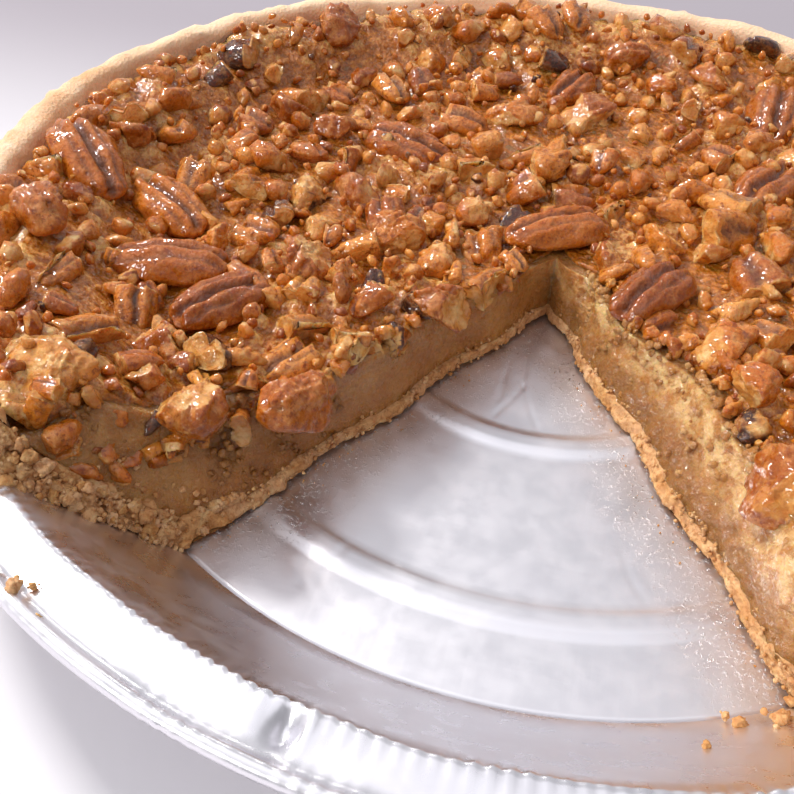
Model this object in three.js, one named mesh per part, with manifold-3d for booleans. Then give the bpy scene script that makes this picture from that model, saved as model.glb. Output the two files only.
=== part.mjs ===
// A pecan pie with one slice taken out, in the pressed foil dish that it was baked in.
// Millimetres, +Z up. The origin is the centre of the dish, on the surface that it stands on,
// and the missing slice faces -Y. Angles are in degrees, anticlockwise from +X seen from above.
import * as THREE from "three";
import { mergeVertices } from "three/addons/utils/BufferGeometryUtils.js";
import Module from "manifold-3d";

const wasm = await Module();
wasm.setup();

// Dish: a nine-inch foil pie pan.
const FOIL = 0.5; // sheet thickness
const BASE_R = 91; // flat base, inside
const RIM_R = 111.5; // top of the sloping wall, inside
const DISH_H = 23; // upper face of the flange
const FLANGE_R = 118.7; // outer edge of the flat flange
const BEAD_R = 1.4; // rolled edge, section radius
const BEAD_STEPS = 7; // faces round the bead's section
const RINGS = [34, 72]; // inner edge of each raised stiffening ring
const RING_W = 6;
const RING_H = 0.6;
const RING_SLOPE = 1.6;
const DISH_SIDES = 48;

// Pastry shell: it lines the dish and stands above the flange.
const GAP = 0.3; // clearance between pieces that touch
const CRUST_FLOOR = 3; // thickness on the base
const CRUST_WALL = 5.2; // thickness on the wall, measured outwards
const LIP_OUT = 2.6; // how far the lip reaches over the flange
const LIP_TOP = 29.4; // mean height of the lip
const LIP_TILT = 1.6; // the lip is higher by this on one side
const LIP_TILT_AT = 170;
const LIP_WAVE = 0.7; // hand-made unevenness in height
const LIP_UNEVEN = 0.5; // and outwards
const CRUST_SIDES = 48;

// Filling: set custard between the shell and the nuts.
const FILLING_TOP = 11.5; // height at the middle
const FILLING_RISE = 6; // it climbs by this at its edge

// Nut topping: radius and mean height of its upper surface, from the middle to the ridge.
const TOPPING = [
  [0, 16.6],
  [25, 16.8],
  [45, 18.4],
  [65, 19.2],
  [80, 19.8],
  [88, 21.8],
  [95, 26],
  [100, 27.2],
  [105, 26.2],
];
const TOPPING_LUMP = 0.9; // height of its lumps
const TOPPING_PITCH = 27; // from one lump to the next
const TOPPING_SIDES = 36;

// Missing slice: its two cuts, and how far each layer stands back from them.
const SLICE = { right: -60, left: -120, leftShift: 2.5, wave: 0.8, pitch: 31, reach: 140, height: 36 };
const SLICE_STEPS = 15;
const SET_BACK = { crust: 0, filling: 1.2, topping: 0.4 };

// Both cuts lean back as they rise from the crust's underside: distance from the tip, and how far
// for each millimetre of height.
const LEAN = {
  right: [
    [0, 0.12],
    [18, 0.28],
    [35, 0.5],
    [53, 0.5],
    [70, 0.28],
    [88, 0.1],
  ],
  left: [
    [0, 0.05],
    [42, 0.15],
    [56, 0.05],
    [66, 0.08],
    [74, 0.38],
    [88, 0.52],
    [105, 0.56],
  ],
};
const LEAN_FROM = 1.4;
const CUT_BAND = 6; // the slice's corners this near to a cut's straight line are on that cut

// Pecans that stand out of the topping: [shape, angle, radius, heading, length, lift].
// A half shows its grooved back, a chunk is a broken piece, and a flake is a thin one.
const PECANS = [
  ["half", -157, 76, 15, 22, 1.4],
  ["half", -146, 68, 55, 19, 1.2],
  ["half", -172, 79, 149, 20, 1.6],
  ["chunk", 177, 92, 161, 12, 0.8],
  ["half", -174, 96, 141, 22, 1.0],
  ["chunk", -160, 99, 159, 16, 1.0],
  ["chunk", -133, 98, 16, 16, 1.4],
  ["chunk", -139, 81, 160, 11, 1.0],
  ["chunk", -156, 51, 86, 15, 1.2],
  ["chunk", 150, 66, 37, 11, 1.0],
  ["half", 140, 52, 172, 21, 0.6],
  ["chunk", 169, 45, 41, 12, 0.8],
  ["chunk", -172, 34, 55, 13, 1.0],
  ["chunk", 152, 79, 146, 12, 1.0],
  ["chunk", 147, 23, 63, 13, 0.8],
  ["half", 106, 10, 33, 22, 1.2],
  ["chunk", 105, 36, 2, 13, 0.8],
  ["chunk", 87, 89, 12, 13, 1.2],
  ["chunk", 73, 88, 162, 12, 1.2],
  ["half", 60, 84, 82, 23, 1.4],
  ["half", 57, 100, 118, 21, 1.0],
  ["flake", 91, 62, 19, 17, 0.8],
  ["flake", 112, 59, 30, 17, 0.8],
  ["half", -20, 19, 58, 20, 1.0],
  ["chunk", -35, 37, 174, 13, 1.2],
  ["chunk", -43, 50, 145, 12, 1.2],
  ["chunk", 35, 22, 164, 12, 1.0],
  ["chunk", -130, 31, 178, 13, 1.2],
  ["chunk", -122, 66, 45, 18, 0.2],
  ["chunk", -128, 82, 140, 14, 0.6],
  ["half", 96, 75, 69, 17, 1.2],
  ["chunk", -53, 66, 16, 12, 1.0],
  ["half", -22, 56, 120, 22, 1.0],
  ["chunk", 6, 50, 30, 14, 1.0],
  ["half", 25, 76, 100, 22, 1.2],
  ["half", -37, 84, 70, 22, 1.0],
  ["chunk", -51, 93, 20, 14, 1.0],
  ["chunk", -10, 97, 80, 15, 1.2],
  ["half", 10, 93, 150, 22, 1.2],
  ["chunk", 38, 97, 10, 14, 1.2],
  ["half", 44, 55, 60, 21, 1.0],
  ["chunk", 133, 98, 30, 14, 1.0],
  ["half", -6, 73, 35, 21, 1.0],
];
const PECAN_SHAPE = {
  half: { width: 0.52, height: 0.32, groove: 0.16, lump: 0.05 },
  chunk: { width: 0.74, height: 0.56, groove: 0, lump: 0.16 },
  flake: { width: 0.5, height: 0.22, groove: 0, lump: 0.08 },
};
const PECAN_SIDES = 8;
const PECAN_RINGS = 3;

const rad = THREE.MathUtils.degToRad;

// A value between the points of a [x, y] table.
function along(table, x) {
  const next = table.findIndex(([at]) => at >= x);
  if (next <= 0) return table[next < 0 ? table.length - 1 : 0][1];
  const [x0, y0] = table[next - 1];
  const [x1, y1] = table[next];
  return THREE.MathUtils.mapLinear(x, x0, x1, y0, y1);
}

// Smooth unevenness between -1 and 1 over the pie, the same on every run.
function lumps(x, y, pitch) {
  const u = (2 * Math.PI * x) / pitch;
  const v = (2 * Math.PI * y) / pitch;
  const broad = Math.sin(u + 1.3 * Math.sin(v));
  const crossed = Math.sin(0.9 * v + 2 + Math.sin(1.3 * u));
  const slanted = Math.sin(0.7 * u - 1.2 * v);
  return 0.4 * broad + 0.35 * crossed + 0.25 * slanted;
}

function lipTop(angle) {
  const a = rad(angle);
  const wave = 0.6 * Math.sin(5 * a + 1) + 0.4 * Math.sin(11 * a);
  return LIP_TOP + LIP_TILT * Math.cos(rad(angle - LIP_TILT_AT)) + LIP_WAVE * wave;
}

// Inner radius of the dish's wall at a height above the table.
const wallRadius = (z) => THREE.MathUtils.mapLinear(z, FOIL, DISH_H, BASE_R, RIM_R);
const fillingTop = (r) => FILLING_TOP + FILLING_RISE * (r / BASE_R) ** 3;
const crustInside = (z) => wallRadius(z) - GAP - CRUST_WALL;

// Topping height over the pie. The ridge follows the lip up and down.
function toppingTop(x, y) {
  const r = Math.hypot(x, y);
  const angle = THREE.MathUtils.radToDeg(Math.atan2(y, x));
  const ridge = THREE.MathUtils.smoothstep(r, 80, 98) * (lipTop(angle) - LIP_TOP);
  return along(TOPPING, r) + ridge + TOPPING_LUMP * lumps(x, y, TOPPING_PITCH);
}

// A closed body of rings of points, each ring as long as the others, with a point at each end.
function ringBody(first, rings, last) {
  const count = rings[0].length;
  const points = [first, ...rings.flat(), last];
  const index = [];
  const end = points.length - 1;
  for (let i = 0; i < count; i++) {
    const j = (i + 1) % count;
    index.push(0, 1 + i, 1 + j);
    for (let k = 0; k + 1 < rings.length; k++) {
      const [a, b] = [1 + k * count, 1 + (k + 1) * count];
      index.push(a + i, b + i, b + j, a + i, b + j, a + j);
    }
    const base = 1 + (rings.length - 1) * count;
    index.push(end, base + j, base + i);
  }
  const geometry = new THREE.BufferGeometry().setIndex(index);
  geometry.setAttribute("position", new THREE.Float32BufferAttribute(points.flat(), 3));
  return geometry;
}

// A body turned round Z. Its section is a list of functions of the angle that give [radius, height],
// from the middle of its underside, round its edge, to the middle of its top.
function turned(section, sides) {
  const rings = section.slice(1, -1).map((at) =>
    Array.from({ length: sides }, (_, i) => {
      const angle = (360 * i) / sides;
      const [r, z] = at(angle);
      return [r * Math.cos(rad(angle)), r * Math.sin(rad(angle)), z];
    }),
  );
  const middle = (at) => [0, 0, at(0)[1]];
  return ringBody(middle(section.at(-1)), rings.reverse(), middle(section[0]));
}

function toSolid(geometry) {
  const bare = geometry.clone();
  for (const name of Object.keys(bare.attributes)) if (name !== "position") bare.deleteAttribute(name);
  const merged = mergeVertices(bare, 1e-4);
  const solid = new wasm.Manifold(
    new wasm.Mesh({
      numProp: 3,
      vertProperties: new Float32Array(merged.attributes.position.array),
      triVerts: new Uint32Array(merged.index.array),
    }),
  );
  return solid;
}

function toGeometry(solid) {
  const mesh = solid.getMesh();
  const geometry = new THREE.BufferGeometry();
  geometry.setAttribute("position", new THREE.BufferAttribute(mesh.vertProperties, 3));
  geometry.setIndex(new THREE.BufferAttribute(mesh.triVerts, 1));
  geometry.computeVertexNormals();
  return geometry;
}

// The missing slice, drawn back on both cuts by the given distance. It widens as it rises, because
// the cuts lean.
function sliceSolid(setBack) {
  const edge = (angle, side, shift, phase) =>
    Array.from({ length: SLICE_STEPS }, (_, i) => {
      const r = (SLICE.reach * i) / (SLICE_STEPS - 1);
      const wave = i ? SLICE.wave * Math.sin((2 * Math.PI * r) / SLICE.pitch + phase) : 0;
      const off = setBack + shift + wave;
      return new THREE.Vector2(
        r * Math.cos(rad(angle)) - side * off * Math.sin(rad(angle)),
        r * Math.sin(rad(angle)) + side * off * Math.cos(rad(angle)),
      );
    });
  const right = edge(SLICE.right, 1, 0, 0.4);
  const left = edge(SLICE.left, -1, SLICE.leftShift, 2);
  const outline = new THREE.Shape([...left, ...right.reverse()]);
  const prism = new THREE.ExtrudeGeometry(outline, { depth: SLICE.height, bevelEnabled: false });
  leanCut(prism, SLICE.right, 1, LEAN.right);
  leanCut(prism, SLICE.left, -1, LEAN.left);
  return toSolid(prism);
}

// Moves the corners on one cut of the slice into the pie, the more the higher they are.
function leanCut(prism, angle, side, lean) {
  const ahead = new THREE.Vector3(Math.cos(rad(angle)), Math.sin(rad(angle)), 0);
  const inward = new THREE.Vector3(-side * ahead.y, side * ahead.x, 0);
  const corners = prism.attributes.position;
  for (let i = 0; i < corners.count; i++) {
    const corner = new THREE.Vector3().fromBufferAttribute(corners, i);
    const reach = corner.dot(ahead);
    if (reach <= 0 || Math.abs(corner.dot(inward)) > CUT_BAND) continue;
    corner.addScaledVector(inward, along(lean, reach) * (corner.z - LEAN_FROM));
    corners.setXYZ(i, corner.x, corner.y, corner.z);
  }
}

// Foil dish: base with stiffening rings, sloping wall, flat flange and rolled edge.
function dishGeometry() {
  const ring = (r) => [
    [r, 0],
    [r + RING_SLOPE, RING_H],
    [r + RING_W - RING_SLOPE, RING_H],
    [r + RING_W, 0],
  ];
  const upper = RINGS.flatMap(ring);
  const beadAt = [FLANGE_R + BEAD_R * 0.9, DISH_H - BEAD_R * 0.2];
  const bead = Array.from({ length: BEAD_STEPS }, (_, i) => {
    const a = rad(150 - (300 * i) / (BEAD_STEPS - 1));
    return [beadAt[0] + BEAD_R * Math.cos(a), beadAt[1] + BEAD_R * Math.sin(a)];
  });
  const inside = [...upper.map(([r, z]) => [r, z + FOIL]), [BASE_R, FOIL], [RIM_R, DISH_H], ...bead];
  const under = [[RIM_R + FOIL, DISH_H - FOIL], [BASE_R + FOIL * 0.7, 0], ...upper.reverse()];
  const section = [[0, FOIL], ...inside, ...under, [0, 0]].reverse();
  return turned(
    section.map((point) => () => point),
    DISH_SIDES,
  );
}

// Pastry shell before it is cut.
function crustGeometry() {
  const floor = FOIL + RING_H + GAP;
  const wall = (z, out) => () => [wallRadius(z) - GAP - out, z];
  const lip = (out, down) => (angle) => {
    const uneven = LIP_UNEVEN * Math.sin(rad(7 * angle));
    return [RIM_R + out + uneven, lipTop(angle) - down];
  };
  const section = [
    () => [0, floor],
    () => [BASE_R - 1.5, floor],
    wall(floor + 1.2, 0),
    wall(DISH_H, 0),
    () => [RIM_R - GAP, DISH_H + GAP],
    () => [RIM_R + LIP_OUT * 0.7, DISH_H + GAP],
    lip(LIP_OUT, 3),
    lip(LIP_OUT * 0.6, 0.5),
    lip(-1.2, 0),
    lip(-4, 1.6),
    wall(DISH_H - 1, CRUST_WALL),
    wall(floor + CRUST_FLOOR + 4, CRUST_WALL),
    () => [crustInside(floor + CRUST_FLOOR) - 3, floor + CRUST_FLOOR],
    () => [0, floor + CRUST_FLOOR],
  ];
  return turned(section, CRUST_SIDES);
}

// Filling before it is cut: it lies inside the shell, under the nuts.
function fillingGeometry() {
  const floor = FOIL + RING_H + GAP + CRUST_FLOOR + GAP;
  const edge = (z) => crustInside(z) - GAP;
  const top = (r) => () => [r, fillingTop(r)];
  const rimAt = edge(fillingTop(BASE_R));
  const section = [
    () => [0, floor],
    () => [edge(floor) - 4, floor],
    () => [edge(floor + 4.3) - 0.3, floor + 4.3],
    () => [rimAt, fillingTop(rimAt)],
    ...[75, 50, 25].map(top),
    top(0),
  ];
  return turned(section, TOPPING_SIDES);
}

// Bed of chopped nuts before it is cut, out to its uneven outline.
function toppingGeometry() {
  const under = (r) => () => [r, fillingTop(r) + GAP];
  const over = (r) => (angle) => [r, toppingTop(r * Math.cos(rad(angle)), r * Math.sin(rad(angle)))];
  const rimAt = crustInside(fillingTop(BASE_R)) - GAP;
  const section = [
    () => [0, fillingTop(0) + GAP],
    ...[25, 50, 75].map(under),
    under(rimAt),
    () => [crustInside(DISH_H - 1) - GAP, DISH_H - 1],
    ...[104, 99, 93, 87, 79, 68, 56, 44, 32, 20, 9].map(over),
    over(0),
  ];
  return turned(section, TOPPING_SIDES);
}

// A pecan about its own middle, its long side on X, grown outwards by the given distance.
function pecanGeometry(shape, length, seed, grow) {
  const { width, height, groove, lump } = PECAN_SHAPE[shape];
  const half = [length / 2 + grow, (length * width) / 2 + grow, (length * height) / 2 + grow];
  const point = (turn, lift) => {
    const [c, s] = [Math.cos(turn), Math.sin(turn)];
    const dent = groove * Math.max(0, s) ** 6;
    const bump = lump * Math.sin(3 * turn + seed) * Math.sin(2 * lift + seed * 1.7);
    const across = Math.sin(lift) * (1 - dent - bump);
    return [half[0] * Math.cos(lift), half[1] * c * across, half[2] * s * across];
  };
  const rings = Array.from({ length: PECAN_RINGS }, (_, k) =>
    Array.from({ length: PECAN_SIDES }, (_, i) =>
      point((2 * Math.PI * i) / PECAN_SIDES, (Math.PI * (k + 1)) / (PECAN_RINGS + 1)),
    ),
  );
  return ringBody(point(0, 0), rings, point(0, Math.PI));
}

// A pecan where it lies on the topping: it follows the slope under it, and sinks in below its lift.
function placePecan([shape, angle, radius, heading, length, lift], seed, grow) {
  const at = new THREE.Vector2(radius * Math.cos(rad(angle)), radius * Math.sin(rad(angle)));
  const step = 5;
  const slopeX = (toppingTop(at.x + step, at.y) - toppingTop(at.x - step, at.y)) / (2 * step);
  const slopeY = (toppingTop(at.x, at.y + step) - toppingTop(at.x, at.y - step)) / (2 * step);
  const normal = new THREE.Vector3(-slopeX, -slopeY, 1).normalize();
  const tilt = new THREE.Quaternion().setFromUnitVectors(new THREE.Vector3(0, 0, 1), normal);
  const turn = new THREE.Quaternion().setFromAxisAngle(new THREE.Vector3(0, 0, 1), rad(heading));
  return pecanGeometry(shape, length, seed, grow)
    .applyQuaternion(tilt.multiply(turn))
    .translate(at.x, at.y, toppingTop(at.x, at.y) + lift);
}

const FINISH = {
  foil: { color: 0xc9c9cf, roughness: 0.28, metalness: 1 },
  crust: { color: 0xe2b27c, roughness: 0.85, metalness: 0 },
  filling: { color: 0xb98242, roughness: 0.3, metalness: 0 },
  topping: { color: 0x9c5a2a, roughness: 0.4, metalness: 0 },
  pecan: { color: 0x8f4b22, roughness: 0.35, metalness: 0 },
};

function named(name, geometry, finish) {
  const mesh = new THREE.Mesh(geometry, new THREE.MeshStandardMaterial(FINISH[finish]));
  mesh.name = name;
  return mesh;
}

const pie = new THREE.Group();
pie.add(named("foil_dish", dishGeometry(), "foil"));

const cut = (geometry, layer) => toSolid(geometry).subtract(sliceSolid(SET_BACK[layer]));
pie.add(named("crust", toGeometry(cut(crustGeometry(), "crust")), "crust"));

// The filling and the topping have a socket for each pecan that sinks into them.
const sockets = PECANS.map((row, i) => toSolid(placePecan(row, i, GAP)));
const socketed = (solid) => sockets.reduce((left, socket) => left.subtract(socket), solid);
pie.add(named("filling", toGeometry(socketed(cut(fillingGeometry(), "filling"))), "filling"));
pie.add(named("nut_topping", toGeometry(socketed(cut(toppingGeometry(), "topping"))), "topping"));

PECANS.forEach((row, i) => {
  pie.add(named(`pecan_${String(i + 1).padStart(2, "0")}`, placePecan(row, i, 0), "pecan"));
});

export default pie;
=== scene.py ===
import math
from itertools import product

import bmesh
import bpy
import numpy as np
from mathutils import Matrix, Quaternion, Vector


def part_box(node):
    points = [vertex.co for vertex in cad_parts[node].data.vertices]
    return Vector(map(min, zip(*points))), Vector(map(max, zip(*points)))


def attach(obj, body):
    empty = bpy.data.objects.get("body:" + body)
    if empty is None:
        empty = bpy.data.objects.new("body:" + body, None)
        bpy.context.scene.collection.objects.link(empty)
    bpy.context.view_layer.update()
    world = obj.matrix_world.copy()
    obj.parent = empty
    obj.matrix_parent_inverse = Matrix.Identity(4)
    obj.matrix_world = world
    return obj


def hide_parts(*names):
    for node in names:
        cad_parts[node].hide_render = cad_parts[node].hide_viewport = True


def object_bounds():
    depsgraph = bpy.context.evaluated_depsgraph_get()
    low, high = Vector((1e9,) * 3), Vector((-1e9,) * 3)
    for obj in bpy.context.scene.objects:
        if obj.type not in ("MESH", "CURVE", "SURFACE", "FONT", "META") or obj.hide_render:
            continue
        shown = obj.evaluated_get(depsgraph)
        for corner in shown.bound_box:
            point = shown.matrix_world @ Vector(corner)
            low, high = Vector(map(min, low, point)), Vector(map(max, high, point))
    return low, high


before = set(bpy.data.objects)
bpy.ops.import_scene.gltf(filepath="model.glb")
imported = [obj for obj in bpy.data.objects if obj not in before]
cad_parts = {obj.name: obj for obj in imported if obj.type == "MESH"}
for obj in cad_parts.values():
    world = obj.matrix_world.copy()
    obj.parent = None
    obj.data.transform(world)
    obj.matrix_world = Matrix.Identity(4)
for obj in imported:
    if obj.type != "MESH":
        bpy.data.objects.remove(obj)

# The pecan pie's looks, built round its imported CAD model. Lengths are in millimetres until
# put() makes a mesh, and angles are in degrees, anticlockwise from +X seen from above.
MM = 0.001
ROOT = "root"
cad_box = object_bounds()

# The dish and the pie, as the CAD has them.
FOIL = 0.5
BASE_R = 91.0
RIM_R = 111.5
DISH_H = 23.0
FLANGE_R = 118.7
RINGS = (34.0, 72.0)
RING_W, RING_H, RING_SLOPE = 6.0, 0.6, 1.6
GAP = 0.3
CRUST_FLOOR, CRUST_WALL = 3.0, 5.2
LIP_OUT, LIP_TOP, LIP_TILT, LIP_TILT_AT, LIP_WAVE = 2.6, 29.4, 1.6, 170.0, 0.7
TOPPING = ((0, 16.6), (25, 16.8), (45, 18.4), (65, 19.2), (80, 19.8), (88, 21.8), (95, 26), (100, 27.2),
           (105, 26.2))
TOPPING_LUMP, TOPPING_PITCH = 0.9, 27.0
CUT_RIGHT, CUT_LEFT, LEFT_SHIFT = -60.0, 240.0, 2.5
CUT_WAVE, CUT_PITCH = 0.8, 31.0
LEAN_RIGHT = ((0, 0.12), (18, 0.28), (35, 0.5), (53, 0.5), (70, 0.28), (88, 0.1))
LEAN_LEFT = ((0, 0.05), (42, 0.15), (56, 0.05), (66, 0.08), (74, 0.38), (88, 0.52), (105, 0.56))
LEAN_FROM = 1.4
FLOOR_TOP = FOIL + RING_H + GAP + CRUST_FLOOR  # upper face of the crust's bottom
OUTER_R = min(cad_box[1].x, -cad_box[0].x) / MM
HIGHEST = cad_box[1].z / MM
NUTS_R = 105.5  # the chopped nuts lie within this radius
FRONT = np.array([-25.0, -45.0])  # the middle of the part of the pie that is seen closest
TEMPLATES = 12  # the shapes that one kind of scattered thing is copied from


# ---------------------------------------------------------------- numbers

def lattice(cell, seed):
    """A number from 0 to 1 for each whole-number cell, the same on every run."""
    x, y, z = (cell[..., i].astype(np.int64) for i in range(3))
    h = (x * 73856093) ^ (y * 19349663) ^ (z * 83492791) ^ (seed * 2654435761)
    h = (h ^ (h >> 13)) * 1274126177
    h = h ^ (h >> 16)
    return (h & 0xFFFFFF) / 0xFFFFFF


def noise(points, pitch, seed=0, octaves=1):
    """Smooth noise from about -1 to 1 at points (..., 3). pitch is a number, or one for each axis."""
    total, weight, size = 0.0, 0.0, 1.0
    for octave in range(octaves):
        at = points / (np.asarray(pitch, float) / 2 ** octave) + 17.3 * seed
        cell = np.floor(at)
        f = at - cell
        f = f * f * (3 - 2 * f)
        value = 0.0
        for corner in product((0, 1), repeat=3):
            share = np.prod(np.where(np.array(corner) == 1, f, 1 - f), axis=-1)
            value = value + share * lattice(cell + corner, seed + octave)
        total = total + size * (2 * value - 1)
        weight += size
        size *= 0.5
    return 1.6 * total / weight


def cells(points, pitch, seed=0):
    """Distance, in pitches, to the nearest of one random point in each cell: grains or bubbles."""
    at = points / pitch
    cell = np.floor(at)
    best = np.full(at.shape[:-1], 9.0)
    for step in product((-1, 0, 1), repeat=3):
        near = cell + step
        seat = near + np.stack([lattice(near, seed + 7 * i) for i in range(3)], -1)
        best = np.minimum(best, ((seat - at) ** 2).sum(-1))
    return np.sqrt(best)


def smoothstep(x, low, high):
    t = np.clip((x - low) / (high - low), 0, 1)
    return t * t * (3 - 2 * t)


def polar(angle, radius):
    a = np.radians(angle)
    return np.stack([radius * np.cos(a), radius * np.sin(a)], -1)


def flat_points(x, y):
    return np.stack([x, y, 0 * x], -1)


def raised(xy, z):
    return np.concatenate([xy, z[..., None]], -1)


# ---------------------------------------------------------------- the pie's form

def lip_top(angle):
    a = np.radians(angle)
    wave = 0.6 * np.sin(5 * a + 1) + 0.4 * np.sin(11 * a)
    return LIP_TOP + LIP_TILT * np.cos(a - math.radians(LIP_TILT_AT)) + LIP_WAVE * wave


def wall_radius(z):
    return BASE_R + (RIM_R - BASE_R) * (z - FOIL) / (DISH_H - FOIL)


def topping_top(x, y):
    """Mean height of the nuts over the pie, as the CAD topping has it."""
    r = np.hypot(x, y)
    u, v = 2 * np.pi * x / TOPPING_PITCH, 2 * np.pi * y / TOPPING_PITCH
    broad = np.sin(u + 1.3 * np.sin(v))
    crossed = np.sin(0.9 * v + 2 + np.sin(1.3 * u))
    slanted = np.sin(0.7 * u - 1.2 * v)
    lumps = 0.4 * broad + 0.35 * crossed + 0.25 * slanted
    ridge = smoothstep(r, 80, 98) * (lip_top(np.degrees(np.arctan2(y, x))) - LIP_TOP)
    return np.interp(r, *zip(*TOPPING)) + ridge + TOPPING_LUMP * lumps


# Each cut: the way from the gap into the pie, the way along it, how far it is shifted, the phase of
# its wave, and how it leans back.
RIGHT = (polar(CUT_RIGHT + 90, 1.0), polar(CUT_RIGHT, 1.0), 0.0, 0.4, LEAN_RIGHT)
LEFT = (polar(CUT_LEFT - 90, 1.0), polar(CUT_LEFT, 1.0), LEFT_SHIFT, 2.0, LEAN_LEFT)


def cut_at(cut, reach, z):
    """How far into the pie a cut lies, at a distance along it and a height."""
    _, _, shift, phase, lean = cut
    wave = CUT_WAVE * np.sin(2 * np.pi * np.clip(reach, 0, None) / CUT_PITCH + phase)
    return shift + wave + np.interp(reach, *zip(*lean)) * np.clip(z - LEAN_FROM, 0, None)


def depth_in_pie(points, z=None):
    """How far points lie behind the nearer cut face, positive inside the pie."""
    xy = points[..., :2]
    z = points[..., 2] if z is None else z
    return np.maximum(*(xy @ cut[0] - cut_at(cut, xy @ cut[1], z) for cut in (RIGHT, LEFT)))


def sector(turn, share, rim, set_back, z):
    """Points of the pie's plan at a height: turn from 0 at the right cut to 1 at the left, share from
    0 at the slice's tip to 1 at the rim."""
    tip = np.array([-LEFT_SHIFT / math.sqrt(3), LEFT_SHIFT + 2 * set_back])
    way = polar(CUT_RIGHT + (CUT_LEFT - CUT_RIGHT) * turn, 1.0)
    along = way @ tip
    length = -along + np.sqrt(along ** 2 - tip @ tip + rim ** 2)
    xy = tip + way * (share * length)[..., None]
    for cut in (RIGHT, LEFT):
        reach = xy @ cut[1]
        push = cut_at(cut, reach, z) - cut[2]
        far = xy @ cut[0] - set_back - cut[2]
        hold = np.exp(-np.clip(far, 0, None) / (9 + 1.5 * np.abs(push)))
        hold = hold * smoothstep(reach, -2, 6) * (far > -4)
        xy = xy + cut[0] * (hold * push)[..., None]
    return xy


# ---------------------------------------------------------------- meshes

def grid_faces(rows, cols, wrap=False, start=0):
    r = np.arange(rows - 1)[:, None]
    c = np.arange(cols if wrap else cols - 1)[None, :]
    d = (c + 1) % cols
    quads = np.stack([r * cols + c, r * cols + d, (r + 1) * cols + d, (r + 1) * cols + c], -1)
    return quads.reshape(-1, 4) + start


def placed(name, data):
    """An object of the scene."""
    made = bpy.data.objects.new(name, data)
    bpy.context.scene.collection.objects.link(made)
    return made


def mark(mesh, key, values):
    attribute = mesh.attributes.get(key) or mesh.attributes.new(key, "FLOAT", "POINT")
    attribute.data.foreach_set("value", np.asarray(values, np.float32))


def put(name, points, faces, slot, material, nodes=(), **marks):
    """A finished piece from millimetre points and arrays of faces. marks are numbers for each point."""
    mesh = bpy.data.meshes.new(name)
    mesh.vertices.add(len(points))
    mesh.vertices.foreach_set("co", (points * MM).astype(np.float32).ravel())
    corners = np.concatenate([f.ravel() for f in faces]).astype(np.int32)
    sizes = np.concatenate([np.full(len(f), f.shape[1]) for f in faces])
    mesh.loops.add(len(corners))
    mesh.loops.foreach_set("vertex_index", corners)
    mesh.polygons.add(len(sizes))
    mesh.polygons.foreach_set("loop_start", (np.cumsum(sizes) - sizes).astype(np.int32))
    mesh.polygons.foreach_set("use_smooth", np.ones(len(sizes), bool))
    for key, values in marks.items():
        mark(mesh, key, values)
    mesh.update(calc_edges=True)
    piece = placed(name, mesh)
    mesh.materials.append(material)
    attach(piece, ROOT)
    if nodes:
        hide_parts(*nodes)
    return piece


def surface(mesh):
    """A mesh's points, in millimetres, and its normals."""
    co, out = np.empty((2, len(mesh.vertices) * 3), np.float32)
    mesh.vertices.foreach_get("co", co)
    mesh.vertex_normals.foreach_get("vector", out)
    return co.reshape(-1, 3).astype(float) / MM, out.reshape(-1, 3).astype(float)


def shift(mesh, moved):
    mesh.vertices.foreach_set("co", (moved * MM).astype(np.float32).ravel())
    mesh.update()


def weld(piece):
    """Joins the edges of a piece's grids into one closed surface that faces outwards."""
    bm = bmesh.new()
    bm.from_mesh(piece.data)
    bmesh.ops.remove_doubles(bm, verts=bm.verts, dist=1e-6)
    bmesh.ops.dissolve_degenerate(bm, dist=1e-6, edges=bm.edges)
    bmesh.ops.recalc_face_normals(bm, faces=bm.faces)
    bm.to_mesh(piece.data)
    bm.free()
    return piece


def stacked(grids):
    """Joins grids of points (rows, columns, 3) into one list of points and of faces."""
    faces, start = [], 0
    for g in grids:
        faces.append(grid_faces(*g.shape[:2], start=start))
        start += g.shape[0] * g.shape[1]
    return np.concatenate([g.reshape(-1, 3) for g in grids]), faces


def layer(name, slot, material, nodes, rims, bottom, top, set_back, counts):
    """A layer of the pie, closed: its top, its two cut faces, its side and its underside. rims are its
    radii below and above, bottom is its height below, top gives (mean height, true height) at points
    of its plan, and counts is (round, outwards, upwards)."""
    around, out, up = counts
    ends = 0.5 - 0.5 * np.cos(np.linspace(0, np.pi, around))
    turn = 0.4 * ends + 0.6 * np.linspace(0, 1, around)
    turn, share = np.meshgrid(turn, np.linspace(0, 1, out), indexing="ij")
    low = sector(turn, share, rims[0], set_back, bottom(0, 0))
    guess = sector(turn, share, rims[1], set_back, 15.0)
    high = sector(turn, share, rims[1], set_back, top(guess[..., 0], guess[..., 1])[0])
    low = raised(low, bottom(low[..., 0], low[..., 1]))
    high = raised(high, top(high[..., 0], high[..., 1])[1])
    rise = np.linspace(0, 1, up)[:, None, None]
    sides = [low[i] + (high[i] - low[i]) * rise for i in (0, -1, (slice(None), -1))]
    points, faces = stacked([high, *sides])
    under = np.concatenate([low[0, :-1], low[:-1, -1], low[-1, ::-1]])
    faces.append(np.arange(len(points), len(points) + len(under))[None, :])
    return weld(put(name, np.concatenate([points, under]), faces, slot, material, nodes))


def lathe(section, sides, bend):
    """Points and faces of a closed section of (radius, height) turned round Z. bend(angle, points)
    changes the [radius, height] pairs of the whole turned section."""
    angle = np.linspace(0, 360, sides, endpoint=False)
    rz = np.broadcast_to(np.asarray(section, float), (sides, len(section), 2)).copy()
    rz = bend(angle[:, None], rz)
    points = raised(polar(angle[:, None], rz[..., 0]), rz[..., 1])
    quads = grid_faces(sides + 1, len(section), wrap=True)
    return points.reshape(-1, 3), quads % (sides * len(section))


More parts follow.
